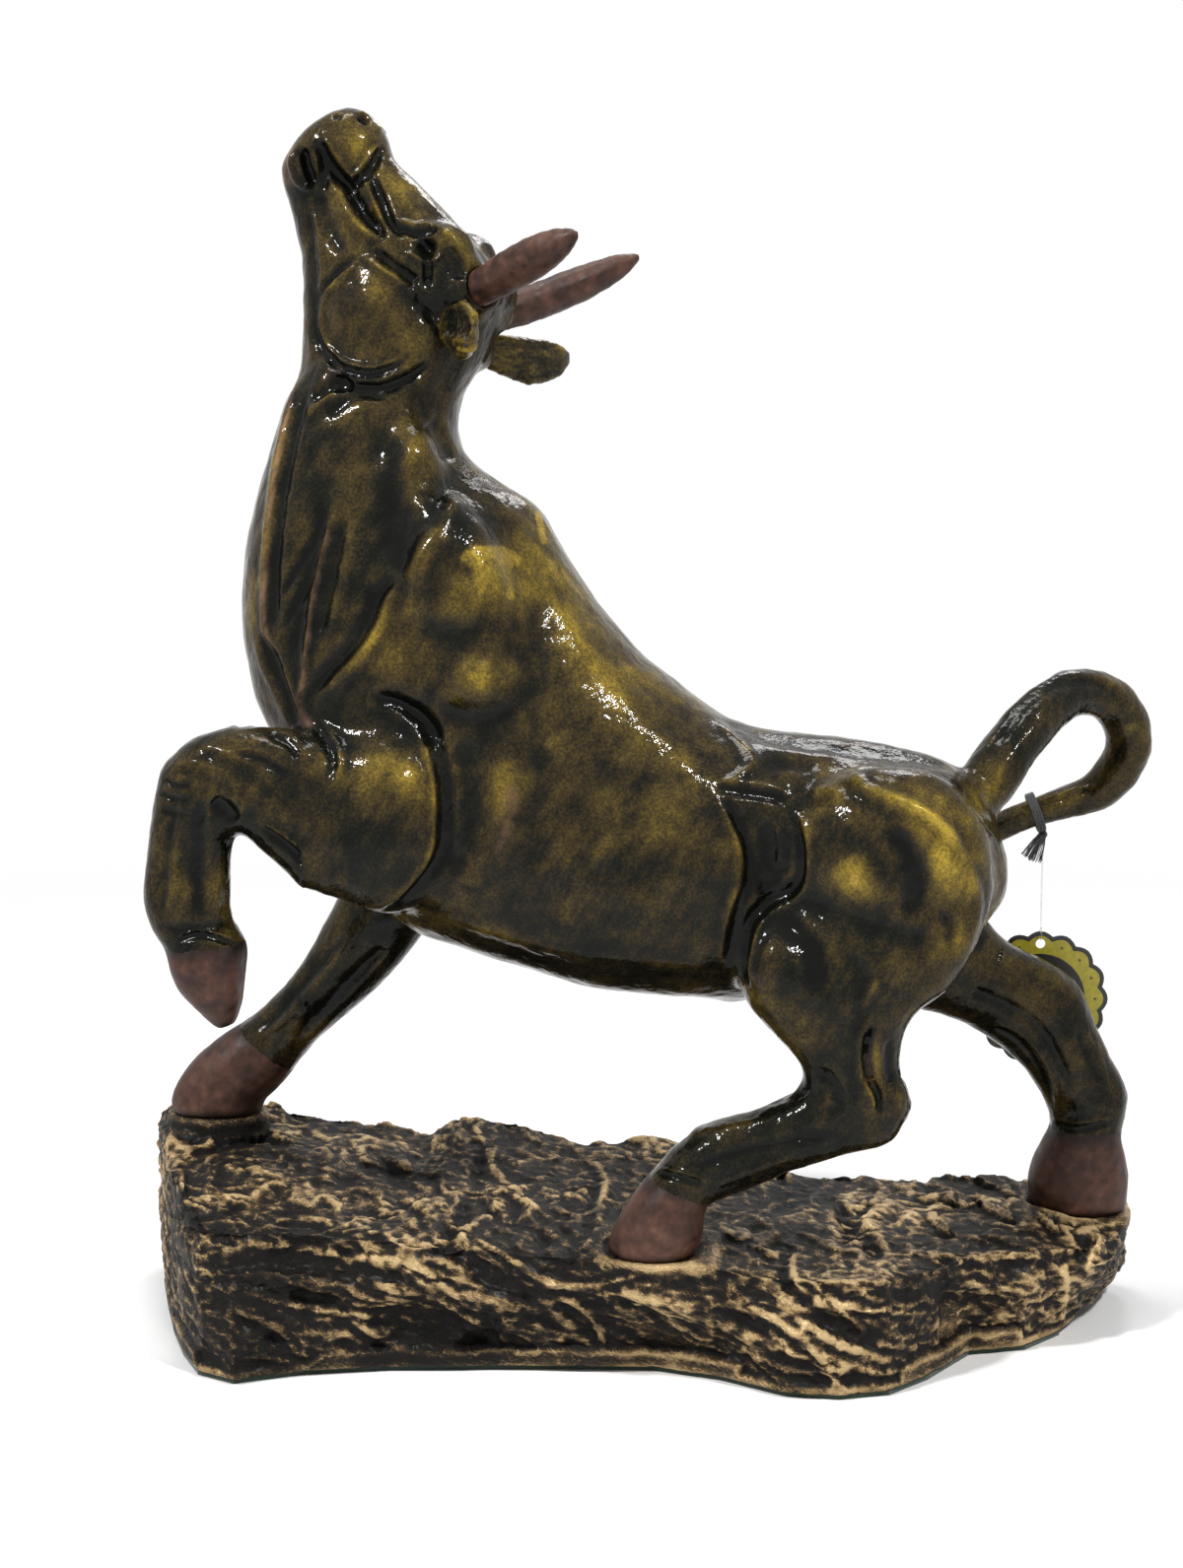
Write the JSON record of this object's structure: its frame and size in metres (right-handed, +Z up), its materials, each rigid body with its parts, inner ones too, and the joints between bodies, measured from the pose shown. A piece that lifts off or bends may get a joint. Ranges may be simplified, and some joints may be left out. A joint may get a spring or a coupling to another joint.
{
  "type": "bull figurine",
  "caption": "Standing figurine of a bull with its head thrown back and one foreleg raised, on a rough rock base, with a small round tag tied to its tail.",
  "frame": {"origin": "middle of the underside of the felt sheet, in the plane that the figurine stands on", "axes": "+Z up; the bull's head is towards -X and its tail towards +X, its left side faces -Y"},
  "size_m": [0.3521, 0.1274, 0.403],
  "materials": {
    "bronze": "glossy clear lacquer over mottled olive gold and dark brown paint on cast resin",
    "horn": "matt reddish-brown paint on cast resin",
    "rock": "rough cast resin painted blackish brown, its ridges dry-brushed dull gold",
    "steel": "plain zinc-plated pins, screws, studs, washers and nuts",
    "board": "bare fibreboard",
    "felt": "thin dark green felt",
    "thread": "black twisted cord with a cut tassel",
    "line": "thin white nylon line",
    "tag": "printed card, olive yellow with a black middle and edge"
  },
  "bodies": {
    "figurine": {"torso": "bronze", "head": "bronze", "ear_left": "bronze", "ear_right": "bronze", "foreleg_left": "bronze", "foreleg_right": "bronze", "hind_leg_left": "bronze", "hind_leg_right": "bronze", "tail": "bronze", "horn_left": "horn", "horn_right": "horn", "hoof_fore_left": "horn", "hoof_fore_right": "horn", "hoof_hind_left": "horn", "hoof_hind_right": "horn", "rock_base": "rock", "horn_pin_left": "steel", "horn_pin_right": "steel", "foreleg_pin_left": "steel", "foreleg_pin_right": "steel", "hind_leg_pin_left": "steel", "hind_leg_pin_right": "steel", "hoof_pin_fore_left": "steel", "hoof_pin_hind_right": "steel", "tail_pin": "steel", "base_screw_1": "steel", "base_screw_2": "steel", "base_screw_3": "steel", "base_screw_4": "steel", "stud_fore": "steel", "stud_washer_fore": "steel", "stud_nut_fore": "steel", "stud_hind": "steel", "stud_washer_hind": "steel", "stud_nut_hind": "steel", "base_board": "board", "base_felt": "felt"},
    "tie": {"tail_tie": "thread"},
    "line": {"tag_line": "line", "tag_line_eye": "line"},
    "tag": {"swing_tag": "tag"}
  },
  "joints": [
    {"name": "tie_roll", "type": "hinge", "parent": "figurine", "child": "tie", "pos_m": [0.137, 0.057, 0.1704], "axis": [0.9375, -0.0056, 0.348], "range_deg": [-3, 25]},
    {"name": "line_swing", "type": "hinge", "parent": "tie", "child": "line", "pos_m": [0.13975, 0.057, 0.16299], "axis": [0, 1, 0], "range_deg": [-30, 12]},
    {"name": "tag_swing", "type": "hinge", "parent": "line", "child": "tag", "pos_m": [0.13975, 0.057, 0.12514], "axis": [0, 1, 0], "range_deg": [-15, 15]}
  ]
}
